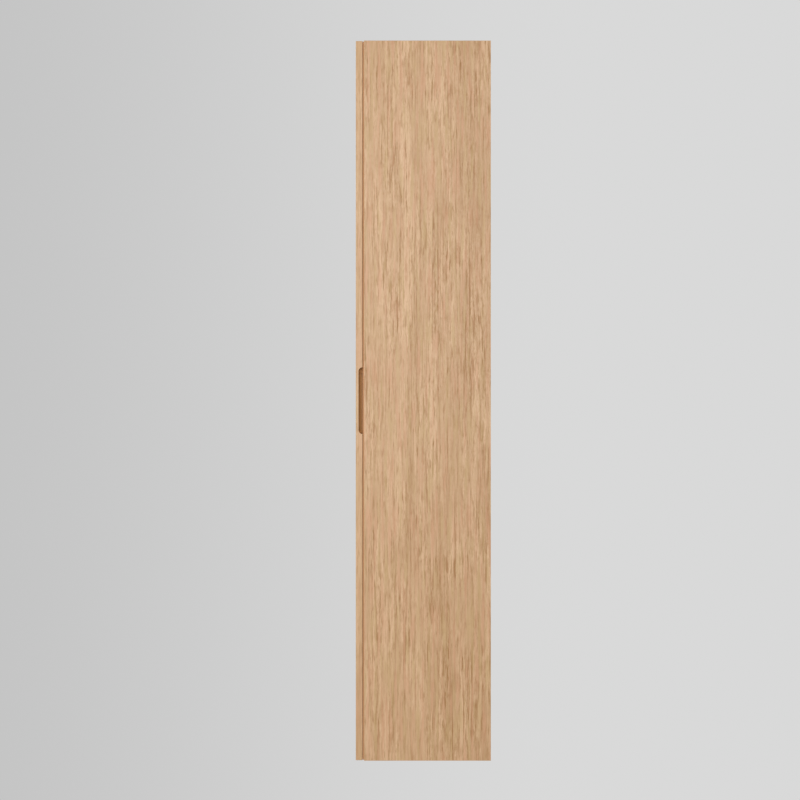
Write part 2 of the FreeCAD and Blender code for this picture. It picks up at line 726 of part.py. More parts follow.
os.makedirs("parts", exist_ok=True)

for side, hand in zip(SIDES, ("left", "right")):
    save(f"{hand}_side_panel", [side_panel(side)])
    save(f"{hand}_side_edging", side_edging(side))

for name in JOINED_BOARDS:
    save(name, [joined_board(name)])
    save(f"{name}_edging", [joined_board_edging(name)])

save("back_panel", [back_panel()])
save("lower_wall_rail", [wall_rail(-1)])
save("upper_wall_rail", [wall_rail(1)])
save("dowels", dowels())
save("cam_bolts", [cam_bolt(place) for place in cam_places()])
save("cam_housings", [cam_housing(place) for place in cam_places()])
save("cam_caps", [cam_cap(place) for place in cam_places()])

for number, row in enumerate(SHELF_ROWS, 1):
    save(f"adjustable_shelf_{number}", [adjustable_shelf(row)])
    save(f"adjustable_shelf_edging_{number}", [adjustable_shelf_edging(row)])
save("shelf_pins", [shelf_pin(side, y, row) for row in SHELF_ROWS for side in SIDES for y in PIN_LINES])

for number, height in enumerate(HINGE_HEIGHTS, 1):
    save(f"hinge_plate_{number}", [hinge_plate(height)])
    save(f"hinge_arm_{number}", [hinge_arm(height)])
    save(f"hinge_pin_{number}", [hinge_pin(HINGE_PIN_RADIUS, height, lug_far() - LUG_CLEARANCE)])
    save(f"hinge_cup_{number}", [hinge_cup(height)])
save("hinge_plate_screws", [wood_screw(*seat) for z in HINGE_HEIGHTS for seat in plate_screw_seats(z)])
save("hinge_arm_screws", [arm_screw(y, z) for z in HINGE_HEIGHTS for y in arm_screw_places()])
save("hinge_cup_screws", [wood_screw(*seat) for z in HINGE_HEIGHTS for seat in cup_screw_seats(z)])

save("door_panel", [door_panel()])
save("door_hinge_edging", [door_upright_edging(-1)])
save("door_opening_edging", [door_upright_edging(1)])
save("door_bottom_edging", [door_end_edging(-1)])
save("door_top_edging", [door_end_edging(1)])

save("catch_housings", [catch_housing(z) for z in CATCH_HEIGHTS])
save("catch_magnets", [magnet_block(z, 0) for z in CATCH_HEIGHTS])
save("catch_screws", [wood_screw(*seat) for z in CATCH_HEIGHTS for seat in catch_screw_seats(z)])
save("catch_strikes", [catch_strike(z) for z in CATCH_HEIGHTS])
save("strike_screws", [wood_screw(*seat) for z in CATCH_HEIGHTS for seat in strike_screw_seats(z)])
save("door_buffer", [door_buffer()])
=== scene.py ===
"""Wall-hung tall cabinet in light oak: the finish of each piece, the studio and the camera."""

import math

import bmesh
import bpy
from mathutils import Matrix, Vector


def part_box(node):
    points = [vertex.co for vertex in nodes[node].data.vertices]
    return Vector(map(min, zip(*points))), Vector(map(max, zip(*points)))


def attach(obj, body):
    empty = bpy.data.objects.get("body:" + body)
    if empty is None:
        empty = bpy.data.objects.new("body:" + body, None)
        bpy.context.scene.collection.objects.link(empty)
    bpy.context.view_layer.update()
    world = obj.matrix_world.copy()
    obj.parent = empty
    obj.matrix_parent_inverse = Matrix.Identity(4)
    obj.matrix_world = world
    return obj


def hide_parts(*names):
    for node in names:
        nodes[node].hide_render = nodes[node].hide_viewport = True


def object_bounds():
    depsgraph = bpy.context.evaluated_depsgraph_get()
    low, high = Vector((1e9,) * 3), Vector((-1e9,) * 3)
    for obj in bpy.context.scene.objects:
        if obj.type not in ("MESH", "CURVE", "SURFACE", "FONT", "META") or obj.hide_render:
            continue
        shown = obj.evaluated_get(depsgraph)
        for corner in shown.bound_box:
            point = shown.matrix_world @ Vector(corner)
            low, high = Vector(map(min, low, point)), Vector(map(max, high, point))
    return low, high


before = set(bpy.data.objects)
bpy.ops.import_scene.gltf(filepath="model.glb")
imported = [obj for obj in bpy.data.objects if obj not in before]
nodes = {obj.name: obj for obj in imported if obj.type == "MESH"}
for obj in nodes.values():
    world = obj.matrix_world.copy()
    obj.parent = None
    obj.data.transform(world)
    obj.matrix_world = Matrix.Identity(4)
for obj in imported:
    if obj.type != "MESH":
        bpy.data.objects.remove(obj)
cad_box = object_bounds()

# Side panels
# Each side is a full-height chipboard panel with satin oak foil on both faces, its grain upright. It is
# grooved and bored on the inside, and its rear edge stays raw, as it is hidden once the cabinet hangs.
MM = 0.001


def feed(tree, socket, value):
    """Link a node's output to a socket, or set the socket to a plain value."""
    if isinstance(value, bpy.types.NodeSocket):
        tree.links.new(value, socket)
    else:
        socket.default_value = value


def calculate(tree, operation, *values):
    """One arithmetic step."""
    step = tree.nodes.new("ShaderNodeMath")
    step.operation = operation
    for socket, value in zip(step.inputs, values):
        feed(tree, socket, value)
    return step.outputs[0]


def calculate_vector(tree, operation, first, second):
    """One vector step."""
    step = tree.nodes.new("ShaderNodeVectorMath")
    step.operation = operation
    feed(tree, step.inputs[0], first)
    feed(tree, step.inputs[1], second)
    return step.outputs[0]


def spread(tree, value, low, high, to_low=0.0, to_high=1.0):
    """Stretch a value smoothly from one range to another, held at its ends."""
    step = tree.nodes.new("ShaderNodeMapRange")
    step.interpolation_type = "SMOOTHSTEP"
    for socket, number in zip(step.inputs, (value, low, high, to_low, to_high)):
        feed(tree, socket, number)
    return step.outputs[0]


def weighted(tree, *terms):
    """Sum of values, each times its weight."""
    total = 0.0
    for value, weight in terms:
        total = calculate(tree, "MULTIPLY_ADD", value, weight, total)
    return total


def cloudy(tree, place, cell_mm, detail=1.0):
    """Noise texture whose cells have the given size along X, Y and Z."""
    texture = tree.nodes.new("ShaderNodeTexNoise")
    tree.links.new(calculate_vector(tree, "DIVIDE", place, cell_mm), texture.inputs["Vector"])
    texture.inputs["Scale"].default_value = 1.0
    texture.inputs["Detail"].default_value = detail
    return texture.outputs


def tint(tree, factor, first, second):
    """Mix two colours."""
    step = tree.nodes.new("ShaderNodeMix")
    step.data_type = "RGBA"
    colour_sockets = [socket for socket in step.inputs if socket.type == "RGBA"]
    feed(tree, step.inputs["Factor"], factor)
    feed(tree, colour_sockets[0], first)
    feed(tree, colour_sockets[1], second)
    return next(socket for socket in step.outputs if socket.type == "RGBA")


def axes_of(tree, place):
    """The X, Y and Z of a place, each as a value."""
    parts = tree.nodes.new("ShaderNodeSeparateXYZ")
    tree.links.new(place, parts.inputs[0])
    return parts.outputs


def blank_finish(name):
    """Material with one principled shader, and the place on the piece in millimetres."""
    material = bpy.data.materials.new(name)
    material.use_nodes = True
    tree = material.node_tree
    tree.nodes.clear()
    shader = tree.nodes.new("ShaderNodeBsdfPrincipled")
    output = tree.nodes.new("ShaderNodeOutputMaterial")
    tree.links.new(shader.outputs[0], output.inputs[0])
    coordinates = tree.nodes.new("ShaderNodeTexCoord")
    place = calculate_vector(tree, "DIVIDE", coordinates.outputs["Object"], (MM, MM, MM))
    return material, tree, shader, place


def emboss(tree, shader, *layers):
    """Raise and sink the surface by heights of about 0 to 1, each as deep as given in millimetres."""
    bump = tree.nodes.new("ShaderNodeBump")
    bump.inputs["Strength"].default_value = 1.0
    bump.inputs["Distance"].default_value = MM
    feed(tree, bump.inputs["Height"], weighted(tree, *layers))
    tree.links.new(bump.outputs[0], shader.inputs["Normal"])


def dress(node, material):
    """Give a piece that keeps its shape its finish."""
    nodes[node].data.materials.clear()
    nodes[node].data.materials.append(material)


def drawn(grain, across_mm, along_mm):
    """Cell size along X, Y and Z of marks drawn out along the grain."""
    return tuple(along_mm if axis == grain else across_mm for axis in "XYZ")


OAK_LIGHT = (0.656, 0.424, 0.241, 1.0)
OAK_DEEP = (0.316, 0.145, 0.033, 1.0)
OAK_PINK = (0.575, 0.300, 0.160, 1.0)
OAK_STRAW = (0.515, 0.336, 0.146, 1.0)
# Broad tones and fine marks of the grain: width across and length along it in mm, noise where they start
# and where they are full, and depth of shade
OAK_TONES = {
    "boards": (120.0, 2600.0, 0.32, 0.68, 0.18),
    "bands": (34.0, 900.0, 0.30, 0.70, 0.16),
}
OAK_MARKS = {
    "streaks": (5.6, 240.0, 0.34, 0.66, 0.26),
    "rings": (4.6, 320.0, 0.56, 0.66, 0.18),
    "dashes": (4.6, 40.0, 0.48, 0.64, 0.25),
    "ticks": (3.0, 20.0, 0.50, 0.64, 0.16),
    "flecks": (4.2, 48.0, 0.56, 0.70, -0.15),
    "pores": (0.42, 9.0, 0.56, 0.66, 0.24),
}
# Fibres that split each mark into fine lines: width and length in mm, noise where they start and are full,
# and the weakest and strongest line
OAK_FIBRES = (0.8, 70.0, 0.35, 0.65, 0.50, 1.50)
# Quiet and crowded stretches of the marks, in the same way, and the mean shade that they leave alone
OAK_CROWDS = (30.0, 170.0, 0.34, 0.66, 0.55, 1.50)
OAK_MEAN_SHADE = 0.35
# How far the dashes and the pores are sunk, as shares of the pores' depth
OAK_RELIEF = {"dashes": 0.3, "pores": 0.7}
# Slow and quick wavering of the grain: width across and length along it, and reach to either side, in mm
OAK_SWAYS = ((70.0, 620.0, 4.0), (12.0, 110.0, 0.7))
# Pink and straw-coloured stretches: width and length in mm, and noise where each starts and is full
OAK_BLUSH = (8.0, 110.0)
OAK_BLUSH_PINK = (0.48, 0.74)
OAK_BLUSH_STRAW = (0.52, 0.26)
OAK_BLUSH_STRENGTH = 0.6
NOISE_MIDDLE = (0.5, 0.5, 0.5)


def wander(tree, place, grain, across_mm, along_mm, reach_mm):
    """Shift a place sideways, so that marks along the grain waver."""
    turns = cloudy(tree, place, drawn(grain, across_mm, along_mm))["Color"]
    sway = calculate_vector(tree, "SUBTRACT", turns, NOISE_MIDDLE)
    sideways = drawn(grain, 2 * reach_mm, 0.0)
    return calculate_vector(tree, "ADD", place, calculate_vector(tree, "MULTIPLY", sway, sideways))


def mark(tree, place, grain, across_mm, along_mm, *levels):
    """Marks of the given width and length along the grain, from noise stretched between levels."""
    return spread(tree, cloudy(tree, place, drawn(grain, across_mm, along_mm))["Fac"], *levels)


def oak_grain(tree, place, grain, start):
    """Colour and surface height of oak whose grain runs along an axis, cut from a place on the pattern."""
    place = calculate_vector(tree, "ADD", place, start)
    blush = cloudy(tree, place, drawn(grain, *OAK_BLUSH))["Fac"]
    for across_mm, along_mm, reach_mm in OAK_SWAYS:
        place = wander(tree, place, grain, across_mm, along_mm, reach_mm)
    tones = [(mark(tree, place, grain, *shape), depth) for *shape, depth in OAK_TONES.values()]
    marks = {kind: mark(tree, place, grain, *shape) for kind, (*shape, _) in OAK_MARKS.items()}
    fine = weighted(tree, *((marks[kind], depth) for kind, (*_, depth) in OAK_MARKS.items()))
    crowded = calculate(tree, "SUBTRACT", fine, OAK_MEAN_SHADE)
    fine = calculate(tree, "MULTIPLY_ADD", crowded, mark(tree, place, grain, *OAK_CROWDS), OAK_MEAN_SHADE)
    fibres = mark(tree, place, grain, *OAK_FIBRES)
    shade = calculate(tree, "MULTIPLY_ADD", fine, fibres, weighted(tree, *tones))
    colour = tint(tree, shade, OAK_LIGHT, OAK_DEEP)
    pink = spread(tree, blush, *OAK_BLUSH_PINK, 0.0, OAK_BLUSH_STRENGTH)
    straw = spread(tree, blush, *OAK_BLUSH_STRAW, 0.0, OAK_BLUSH_STRENGTH)
    colour = tint(tree, straw, tint(tree, pink, colour, OAK_PINK), OAK_STRAW)
    sunk = weighted(tree, *((marks[kind], share) for kind, share in OAK_RELIEF.items()))
    return colour, calculate(tree, "SUBTRACT", 1.0, sunk)


CHIP_PALE = (0.560, 0.400, 0.240, 1.0)
CHIP_DARK = (0.300, 0.185, 0.095, 1.0)
CHIP_MM = (1.8, 1.25, 2.4)
CHIP_FLECK_MM = (0.9, 0.7, 1.1)
CHIP_FLECK_DETAIL = 3.0
CHIP_SHARE = 0.6
CHIP_LEVELS = (0.25, 0.95)


def chipboard_core(tree, place):
    """Colour and height of pressed wood chips, as a saw or drill leaves them."""
    chips = tree.nodes.new("ShaderNodeTexVoronoi")
    chips.inputs["Scale"].default_value = 1.0
    tree.links.new(calculate_vector(tree, "DIVIDE", place, CHIP_MM), chips.inputs["Vector"])
    flecks = cloudy(tree, place, CHIP_FLECK_MM, CHIP_FLECK_DETAIL)["Fac"]
    mixed = weighted(tree, (chips.outputs["Color"], CHIP_SHARE), (flecks, CHIP_SHARE))
    return tint(tree, spread(tree, mixed, *CHIP_LEVELS), CHIP_PALE, CHIP_DARK), mixed


FOIL_MM = 0.06


def inside_board(tree, place, node, axis):
    """1 on the cut edges, bores and grooves of a board, and 0 on its two faces across the given axis."""
    low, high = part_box(node)
    index = "XYZ".index(axis)
    middle = (low[index] + high[index]) / 2 / MM
    half = (high[index] - low[index]) / 2 / MM - FOIL_MM
    from_middle = calculate(tree, "SUBTRACT", axes_of(tree, place)[axis], middle)
    return calculate(tree, "LESS_THAN", calculate(tree, "ABSOLUTE", from_middle), half)


FOIL_ROUGHNESS = (0.56, 0.40)
CORE_ROUGHER = 0.29
PORE_DEPTH_MM = 0.06
CHIP_DEPTH_MM = 0.25


def foiled_board(node, grain, thickness, start):
    """Give a chipboard panel its oak foil on both faces and its raw core elsewhere."""
    material, tree, shader, place = blank_finish(f"oak_foil_{node}")
    oak, grain_height = oak_grain(tree, place, grain, start)
    core, chip_height = chipboard_core(tree, place)
    cut = inside_board(tree, place, node, thickness)
    feed(tree, shader.inputs["Base Color"], tint(tree, cut, oak, core))
    foil_roughness = spread(tree, grain_height, 0.0, 1.0, *FOIL_ROUGHNESS)
    feed(tree, shader.inputs["Roughness"], weighted(tree, (foil_roughness, 1.0), (cut, CORE_ROUGHER)))
    cut_height = calculate(tree, "MULTIPLY", cut, chip_height)
    emboss(tree, shader, (grain_height, PORE_DEPTH_MM), (cut_height, CHIP_DEPTH_MM))
    dress(node, material)


SIDE_FOIL_STARTS = {"right_side_panel": (151.0, 469.0, 1323.0), "left_side_panel": (510.0, 120.0, 700.0)}
for node, start in SIDE_FOIL_STARTS.items():
    foiled_board(node, "Z", "X", start)

# Top, bottom and fixed shelf
# Chipboard panels with the same foil, their grain from side to side. They stand between the sides on
# dowels, and cam fittings draw them tight.
CROSS_FOIL_STARTS = {
    "top_panel": (200.0, 800.0, 30.0),
    "bottom_panel": (900.0, 150.0, 460.0),
    "fixed_shelf": (60.0, 420.0, 910.0),
}
for node, start in CROSS_FOIL_STARTS.items():
    foiled_board(node, "X", "Z", start)

# Adjustable shelves
# Four loose chipboard shelves in the same foil, with the grain from side to side. They are cut a little
# narrower than the inside, so that they lift off their pins and out.
SHELF_COUNT = 4
SHELF_NUMBERS = range(1, SHELF_COUNT + 1)
SHELF_FOIL_STEP = Vector((170.0, 530.0, 310.0))
for number in SHELF_NUMBERS:
    foiled_board(f"adjustable_shelf_{number}", "X", "Z", SHELF_FOIL_STEP * number)

# Wall rails
# Two strips of the same foiled chipboard stand behind the back panel, on dowels between the sides. The wall
# screws pass through the back panel and through them.
RAIL_FOIL_STARTS = {"upper_wall_rail": (730.0, 20.0, 250.0), "lower_wall_rail": (330.0, 640.0, 120.0)}
for node, start in RAIL_FOIL_STARTS.items():
    foiled_board(node, "X", "Y", start)

# Back panel
# A thin fibreboard sheet that slides in the grooves before the carcass is closed. Its front has the oak
# foil, and its rear is the plain brown board, smooth and faintly speckled.
FIBRE_PALE = (0.420, 0.262, 0.142, 1.0)
FIBRE_DARK = (0.300, 0.176, 0.088, 1.0)
FIBRE_MM = (1.1, 1.1, 1.1)
FIBRE_CLOUD_MM = (50.0, 50.0, 50.0)
FIBRE_DETAIL = 4.0
FIBRE_SHARES = (0.6, 0.4)
FIBRE_LEVELS = (0.3, 0.7)
FIBRE_ROUGHNESS = (0.50, 0.64)
BACK_FOIL_START = (620.0, 90.0, 380.0)
material, tree, shader, place = blank_finish("back_panel_fibreboard")
oak, grain_height = oak_grain(tree, place, "Z", BACK_FOIL_START)
specks = cloudy(tree, place, FIBRE_MM, FIBRE_DETAIL)["Fac"]
clouds = cloudy(tree, place, FIBRE_CLOUD_MM, FIBRE_DETAIL)["Fac"]
blotches = weighted(tree, *zip((specks, clouds), FIBRE_SHARES))
brown = tint(tree, spread(tree, blotches, *FIBRE_LEVELS), FIBRE_PALE, FIBRE_DARK)
back_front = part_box("back_panel")[0].y / MM
foiled = calculate(tree, "LESS_THAN", axes_of(tree, place)["Y"], back_front + FOIL_MM)
feed(tree, shader.inputs["Base Color"], tint(tree, foiled, brown, oak))
feed(tree, shader.inputs["Roughness"], spread(tree, specks, *FIBRE_LEVELS, *FIBRE_ROUGHNESS))
emboss(tree, shader, (calculate(tree, "MULTIPLY", grain_height, foiled), PORE_DEPTH_MM))
dress("back_panel", material)

# Edging of the carcass and shelves
# One-millimetre oak-grain strips, glued to the edges that show. The trimmer leaves a small round on their
# outer edges. The front strips of the sides run the full height, and the end strips butt against them.
EDGING = 1.0 * MM
# Share of light oak mixed into every strip, a painted highlight along the edges
EDGING_PAINTED_HIGHLIGHT = 0.35
EDGE_ROUND = 0.9 * MM
ROUND_STEPS = 4
ROUND_PROFILE = 0.5
SMOOTH_TURN = math.radians(35)
IN_LINE = 0.1 * MM
FRONT = Vector((0.0, -1.0, 0.0))
RIGHT = Vector((1.0, 0.0, 0.0))
UP = Vector((0.0, 0.0, 1.0))


def oak_edging_finish(name, grain, start):
    """Satin oak-grain strip, a little paler than the foil: a painted highlight along the edges."""
    material, tree, shader, place = blank_finish(name)
    oak, grain_height = oak_grain(tree, place, grain, start)
    feed(tree, shader.inputs["Base Color"], tint(tree, EDGING_PAINTED_HIGHLIGHT, oak, OAK_LIGHT))
    feed(tree, shader.inputs["Roughness"], spread(tree, grain_height, 0.0, 1.0, *FOIL_ROUGHNESS))
    emboss(tree, shader, (grain_height, PORE_DEPTH_MM))
    return material


def block(work, low, high):
    """Add a block between two corners to a mesh in the making, and return its edges."""
    corners = bmesh.ops.create_cube(work, size=1.0)["verts"]
    for corner in corners:
        corner.co = [near if side < 0 else far for side, near, far in zip(corner.co, low, high)]
    return list({edge for corner in corners for edge in corner.link_edges})


def round_over(work, edges, radius):
    """Round the given edges."""
    shape = {"segments": ROUND_STEPS, "profile": ROUND_PROFILE, "affect": "EDGES"}
    bmesh.ops.bevel(work, geom=edges, offset=radius, **shape)


def set_in(work, name, material, body, replaced):
    """Close a mesh in the making and put it on a body in place of a node."""
    bmesh.ops.recalc_face_normals(work, faces=work.faces)
    for edge in work.edges:
        edge.smooth = edge.calc_face_angle(0.0) < SMOOTH_TURN
    for face in work.faces:
        face.smooth = True
    mesh = bpy.data.meshes.new(name)
    work.to_mesh(mesh)
    work.free()
    mesh.materials.append(material)
    piece = bpy.data.objects.new(name, mesh)
    bpy.context.scene.collection.objects.link(piece)
    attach(piece, body)
    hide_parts(replaced)


def outermost(edges, outward, reach):
    """Those of the edges that lie at the given reach in a direction."""
    return [edge for edge in edges if all(abs(end.co.dot(outward) - reach) < IN_LINE for end in edge.verts)]


def edging(node, name, strips, grain, start, body="carcass", round_ends=False):
    """Glue on oak strips in place of a node, each given by two corners and the direction that it faces.

    The outer edges along the grain are rounded, and with round_ends the short ones as well.
    """
    along = "XYZ".index(grain)
    work = bmesh.new()
    for low, high, outward in strips:
        reach = max(low.dot(outward), high.dot(outward))
        rim = outermost(block(work, low, high), outward, reach)
        runs = [abs(edge.verts[0].co[along] - edge.verts[1].co[along]) for edge in rim]
        long_edges = [edge for edge, run in zip(rim, runs) if run > IN_LINE]
        round_over(work, rim if round_ends else long_edges, EDGE_ROUND)
    finish = oak_edging_finish(f"oak_{name}", grain, start)
    set_in(work, name, finish, body, node)


SIDE_EDGING_STARTS = {"right": (15.0, 640.0, 220.0), "left": (350.0, 80.0, 560.0)}
for hand, start in SIDE_EDGING_STARTS.items():
    node = f"{hand}_side_edging"
    low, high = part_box(node)
    behind_front = low.y + EDGING
    front = (low, Vector((high.x, behind_front, high.z)), FRONT)
    top = (Vector((low.x, behind_front, high.z - EDGING)), high, UP)
    bottom = (Vector((low.x, behind_front, low.z)), Vector((high.x, high.y, low.z + EDGING)), -UP)
    edging(node, f"{hand}_side_front_strip", [front], "Z", start, round_ends=True)
    edging(node, f"{hand}_side_end_strips", [top, bottom], "Y", start)

CROSS_EDGING_STEP = Vector((90.0, 310.0, 470.0))
cross_edgings = ["top_panel_edging", "bottom_panel_edging", "fixed_shelf_edging"]
cross_edgings += [f"adjustable_shelf_edging_{number}" for number in SHELF_NUMBERS]
for count, node in enumerate(cross_edgings):
    edging(node, f"{node}_strip", [(*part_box(node), FRONT)], "X", CROSS_EDGING_STEP * count)

# Dowels
# Turned beech pegs, glued half into the sides and half into the ends of the boards. Their grain runs along
# them, in fine pale lines.
BEECH_PALE = (0.620, 0.420, 0.262, 1.0)
BEECH_DARK = (0.500, 0.315, 0.180, 1.0)
BEECH_LINE_MM = (0.9, 12.0)
BEECH_LEVELS = (0.35, 0.70)
BEECH_ROUGHNESS = (0.55, 0.70)
BEECH_DEPTH_MM = 0.08
material, tree, shader, place = blank_finish("beech_dowel")
lines = cloudy(tree, place, drawn("X", *BEECH_LINE_MM))["Fac"]
beech = tint(tree, spread(tree, lines, *BEECH_LEVELS), BEECH_PALE, BEECH_DARK)
feed(tree, shader.inputs["Base Color"], beech)
feed(tree, shader.inputs["Roughness"], spread(tree, lines, *BEECH_LEVELS, *BEECH_ROUGHNESS))
emboss(tree, shader, (lines, BEECH_DEPTH_MM))
dress("dowels", material)

# Steel fittings: cam bolts, shelf pins, screws, strikes, hinge arms, cups and pins
# Pressed or turned steel with a satin nickel plate, which keeps the fine lines of the drawn strip. Tumbling
# before the plating takes the sharpness off the edges of the pressed ones.
NICKEL = (0.550, 0.540, 0.518, 1.0)
NICKEL_DULL = (0.440, 0.431, 0.412, 1.0)
NICKEL_ROUGHNESS = (0.46, 0.60)
NICKEL_LINE_MM = (0.25, 4.0, 0.25)
METAL_DETAIL = 3.0
METAL_PATCH_MM = (8.0, 8.0, 8.0)
METAL_LEVELS = (0.33, 0.70)
METAL_WEAR_SHARES = (0.5, 0.5)
METAL_LINE_DEPTH_MM = 0.01
TUMBLED_EDGE_MM = 0.25
SHARP_TURN = math.radians(40)
WELD_MM = 0.002
FLAT_TURN = math.radians(1)
EASE_STEPS = 2


def plated_metal(name, bright, dull, roughness, line_mm):
    """Plated metal with fine lines and slightly dull patches."""
    material, tree, shader, place = blank_finish(name)
    lines = cloudy(tree, place, line_mm, METAL_DETAIL)["Fac"]
    patches = cloudy(tree, place, METAL_PATCH_MM, METAL_DETAIL)["Fac"]
    feed(tree, shader.inputs["Base Color"], tint(tree, spread(tree, patches, *METAL_LEVELS), bright, dull))
    shader.inputs["Metallic"].default_value = 1.0
    worn = weighted(tree, *zip((lines, patches), METAL_WEAR_SHARES))
    feed(tree, shader.inputs["Roughness"], spread(tree, worn, *METAL_LEVELS, *roughness))
    emboss(tree, shader, (lines, METAL_LINE_DEPTH_MM))
    return material


def ease_edges(node, radius_mm):
    """Round the sharp edges of a piece that keeps its shape."""
    weld = nodes[node].modifiers.new("weld", "WELD")
    weld.merge_threshold = WELD_MM * MM
    flats = nodes[node].modifiers.new("flats", "DECIMATE")
    flats.decimate_type = "DISSOLVE"
    flats.angle_limit = FLAT_TURN
    ease = nodes[node].modifiers.new("ease", "BEVEL")
    ease.width = radius_mm * MM
    ease.segments = EASE_STEPS
    ease.limit_method = "ANGLE"
    ease.angle_limit = SHARP_TURN
    ease.use_clamp_overlap = False
    shading = nodes[node].modifiers.new("shading", "WEIGHTED_NORMAL")
    shading.keep_sharp = False


HINGE_COUNT = 4
HINGE_NUMBERS = range(1, HINGE_COUNT + 1)
nickel_steel = plated_metal("nickel_steel", NICKEL, NICKEL_DULL, NICKEL_ROUGHNESS, NICKEL_LINE_MM)
turned_nodes = ["cam_bolts", "hinge_plate_screws", "hinge_arm_screws", "hinge_cup_screws"]
turned_nodes += ["catch_screws", "strike_screws"] + [f"hinge_pin_{number}" for number in HINGE_NUMBERS]
pressed_nodes = ["shelf_pins", "catch_strikes"]
pressed_nodes += [f"hinge_{piece}_{number}" for piece in ("arm", "cup") for number in HINGE_NUMBERS]
for node in turned_nodes + pressed_nodes:
    dress(node, nickel_steel)
for node in pressed_nodes:
    ease_edges(node, TUMBLED_EDGE_MM)

# Zinc castings: cam housings and hinge mounting plates
# Die-cast zinc, tumbled and plated, greyer and grainier than the pressed steel and with softer edges. The
# plates are screwed to the left side, and the cams lie in bores of the boards.
ZINC = (0.510, 0.510, 0.502, 1.0)
ZINC_DULL = (0.415, 0.415, 0.408, 1.0)
ZINC_ROUGHNESS = (0.48, 0.62)
ZINC_GRAIN_MM = (0.7, 0.7, 0.7)
CAST_EDGE_MM = 0.4
cast_zinc = plated_metal("cast_zinc", ZINC, ZINC_DULL, ZINC_ROUGHNESS, ZINC_GRAIN_MM)
dress("cam_housings", cast_zinc)
for number in HINGE_NUMBERS:
    dress(f"hinge_plate_{number}", cast_zinc)
    ease_edges(f"hinge_plate_{number}", CAST_EDGE_MM)

# Moulded plastic: cam caps and catch housings
# The caps are oak-coloured discs that snap over the cams, and the pale grey housings are screwed to the
# right side. Both come from a mould with a fine spark texture and rounded corners.
CAP_COLOURS = ((0.560, 0.350, 0.195, 1.0), (0.500, 0.300, 0.160, 1.0))
CAP_ROUGHNESS = (0.42, 0.55)
CAP_EDGE_MM = 0.3
HOUSING_COLOURS = ((0.690, 0.680, 0.650, 1.0), (0.620, 0.610, 0.580, 1.0))
HOUSING_ROUGHNESS = (0.45, 0.60)
HOUSING_EDGE_MM = 0.6
GRIT_MM = (0.45, 0.45, 0.45)
GRIT_LEVELS = (0.30, 0.72)
GRIT_DEPTH_MM = 0.04


def moulded(name, colours, roughness):
    """Moulded material with a fine texture, in two near colours."""
    material, tree, shader, place = blank_finish(name)
    grit = cloudy(tree, place, GRIT_MM)["Fac"]
    feed(tree, shader.inputs["Base Color"], tint(tree, spread(tree, grit, *GRIT_LEVELS), *colours))
    feed(tree, shader.inputs["Roughness"], spread(tree, grit, *GRIT_LEVELS, *roughness))
    emboss(tree, shader, (grit, GRIT_DEPTH_MM))
    return material


dress("cam_caps", moulded("cap_plastic", CAP_COLOURS, CAP_ROUGHNESS))
ease_edges("cam_caps", CAP_EDGE_MM)
dress("catch_housings", moulded("catch_plastic", HOUSING_COLOURS, HOUSING_ROUGHNESS))
ease_edges("catch_housings", HOUSING_EDGE_MM)

# Catch magnets
# In each housing a black ferrite bar lies between two steel pole plates, which stand a little proud of it.
# The plates carry its pull to the strike on the door, and float in the housing to lie flat on the strike.
FERRITE_COLOURS = ((0.030, 0.030, 0.032, 1.0), (0.055, 0.054, 0.055, 1.0))
FERRITE_ROUGHNESS = (0.35, 0.60)
FERRITE_SETBACK = 0.8 * MM
POLE_PLATE = 1.6 * MM
MAGNET_EDGE = 0.25 * MM
low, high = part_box("catch_magnets")
heights = [vertex.co.z for vertex in nodes["catch_magnets"].data.vertices if vertex.co.z > 0]
plates = bmesh.new()
bars = bmesh.new()
for bottom, top in ((min(heights), max(heights)), (-max(heights), -min(heights))):
    left_plate = block(plates, (low.x, low.y, bottom), (low.x + POLE_PLATE, high.y, top))
    right_plate = block(plates, (high.x - POLE_PLATE, low.y, bottom), (high.x, high.y, top))
    round_over(plates, left_plate + right_plate, MAGNET_EDGE)
    bar_low = (low.x + POLE_PLATE, low.y + FERRITE_SETBACK, bottom)
    bar = block(bars, bar_low, (high.x - POLE_PLATE, high.y, top))
    round_over(bars, bar, MAGNET_EDGE)
set_in(plates, "catch_pole_plates", nickel_steel, "carcass", "catch_magnets")
ferrite = moulded("ferrite", FERRITE_COLOURS, FERRITE_ROUGHNESS)
set_in(bars, "catch_ferrite_bars", ferrite, "carcass", "catch_magnets")

# Door buffer
# A soft brown rubber strip, stuck along the front edge of the right side. The shut door rests against it,
# and it closes the gap behind the door. Its reddish brown fills the gap as painted shade.
RUBBER_GAP_SHADE_COLOURS = ((0.560, 0.280, 0.128, 1.0), (0.492, 0.240, 0.105, 1.0))
RUBBER_ROUGHNESS = (0.62, 0.78)
dress("door_buffer", moulded("buffer_rubber", RUBBER_GAP_SHADE_COLOURS, RUBBER_ROUGHNESS))

# Door panel
# One full-height board with oak foil on both faces, bored for the hinge cups. The finger pull is routed
# into its rear edge and stained orange-brown. The stain is lighter and warmer on its cove as painted bounce
# light, and darker towards the edge on its flat floor as painted shade.
DOOR_FOIL_START = (260.0, 70.0, 830.0)
# Orange-brown stain on the cove, lighter and warmer than the oak as painted bounce light in the recess
STAIN_PAINTED_LIGHT = (0.720, 0.375, 0.150, 1.0)
STAIN_PAINTED_LIGHT_DARK = (0.560, 0.275, 0.102, 1.0)
# Darker stain near the board's edge, painted shade on the pull's flat floor
STAIN_PAINTED_SHADE = (0.490, 0.270, 0.124, 1.0)
STAIN_PAINTED_SHADE_DARK = (0.370, 0.195, 0.084, 1.0)
